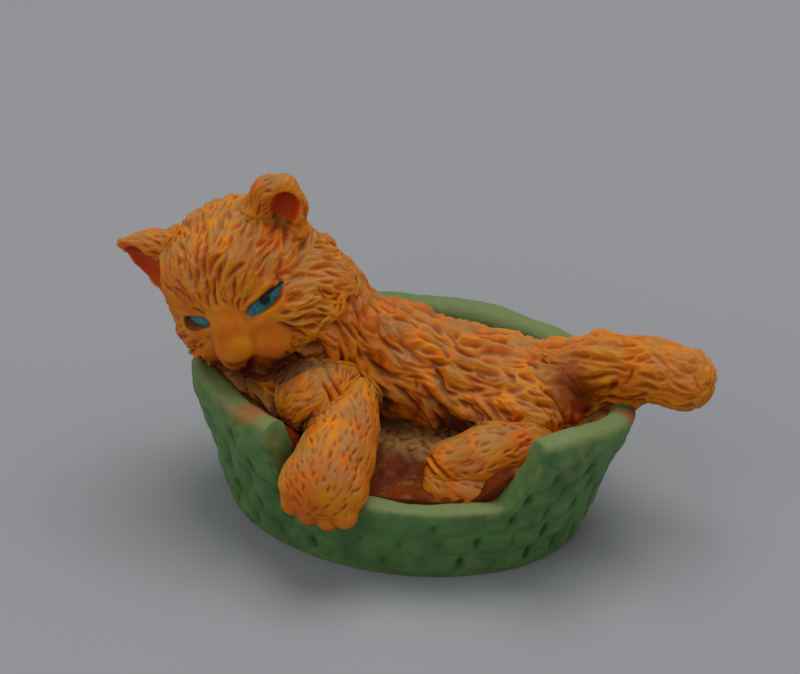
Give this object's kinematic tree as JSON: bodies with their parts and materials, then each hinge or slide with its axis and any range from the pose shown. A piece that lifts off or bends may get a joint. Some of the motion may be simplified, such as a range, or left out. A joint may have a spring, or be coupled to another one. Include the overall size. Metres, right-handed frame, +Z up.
{
  "type": "kitten in basket figurine",
  "caption": "Small cast figurine of a long-haired kitten lying in a low oval wicker basket with a low front, one foreleg over the edge.",
  "frame": {"origin": "on the basket's flat underside, below the middle of the rim's oval", "axes": "+Z up; +X along the basket towards the kitten's tail; the low front of the basket faces -Y"},
  "size_m": [0.0718, 0.042, 0.0445],
  "materials": {
    "kitten_resin": "cast resin, waxy, brown wash in the fur",
    "basket_paint": "flat paint, worn pale on the rim",
    "bedding_resin": "cast resin, brown wash and dust",
    "eye_paint": "turquoise paint with a black pupil"
  },
  "bodies": {
    "root": {"basket": "basket_paint", "bedding": "bedding_resin", "body": "kitten_resin", "head": "kitten_resin", "ear_left": "kitten_resin", "ear_right": "kitten_resin", "eye_left": "eye_paint", "eye_right": "eye_paint", "foreleg_hanging": "kitten_resin", "foreleg_folded": "kitten_resin", "hind_leg_upper": "kitten_resin", "hind_leg_lower": "kitten_resin", "tail": "kitten_resin"}
  },
  "joints": []
}
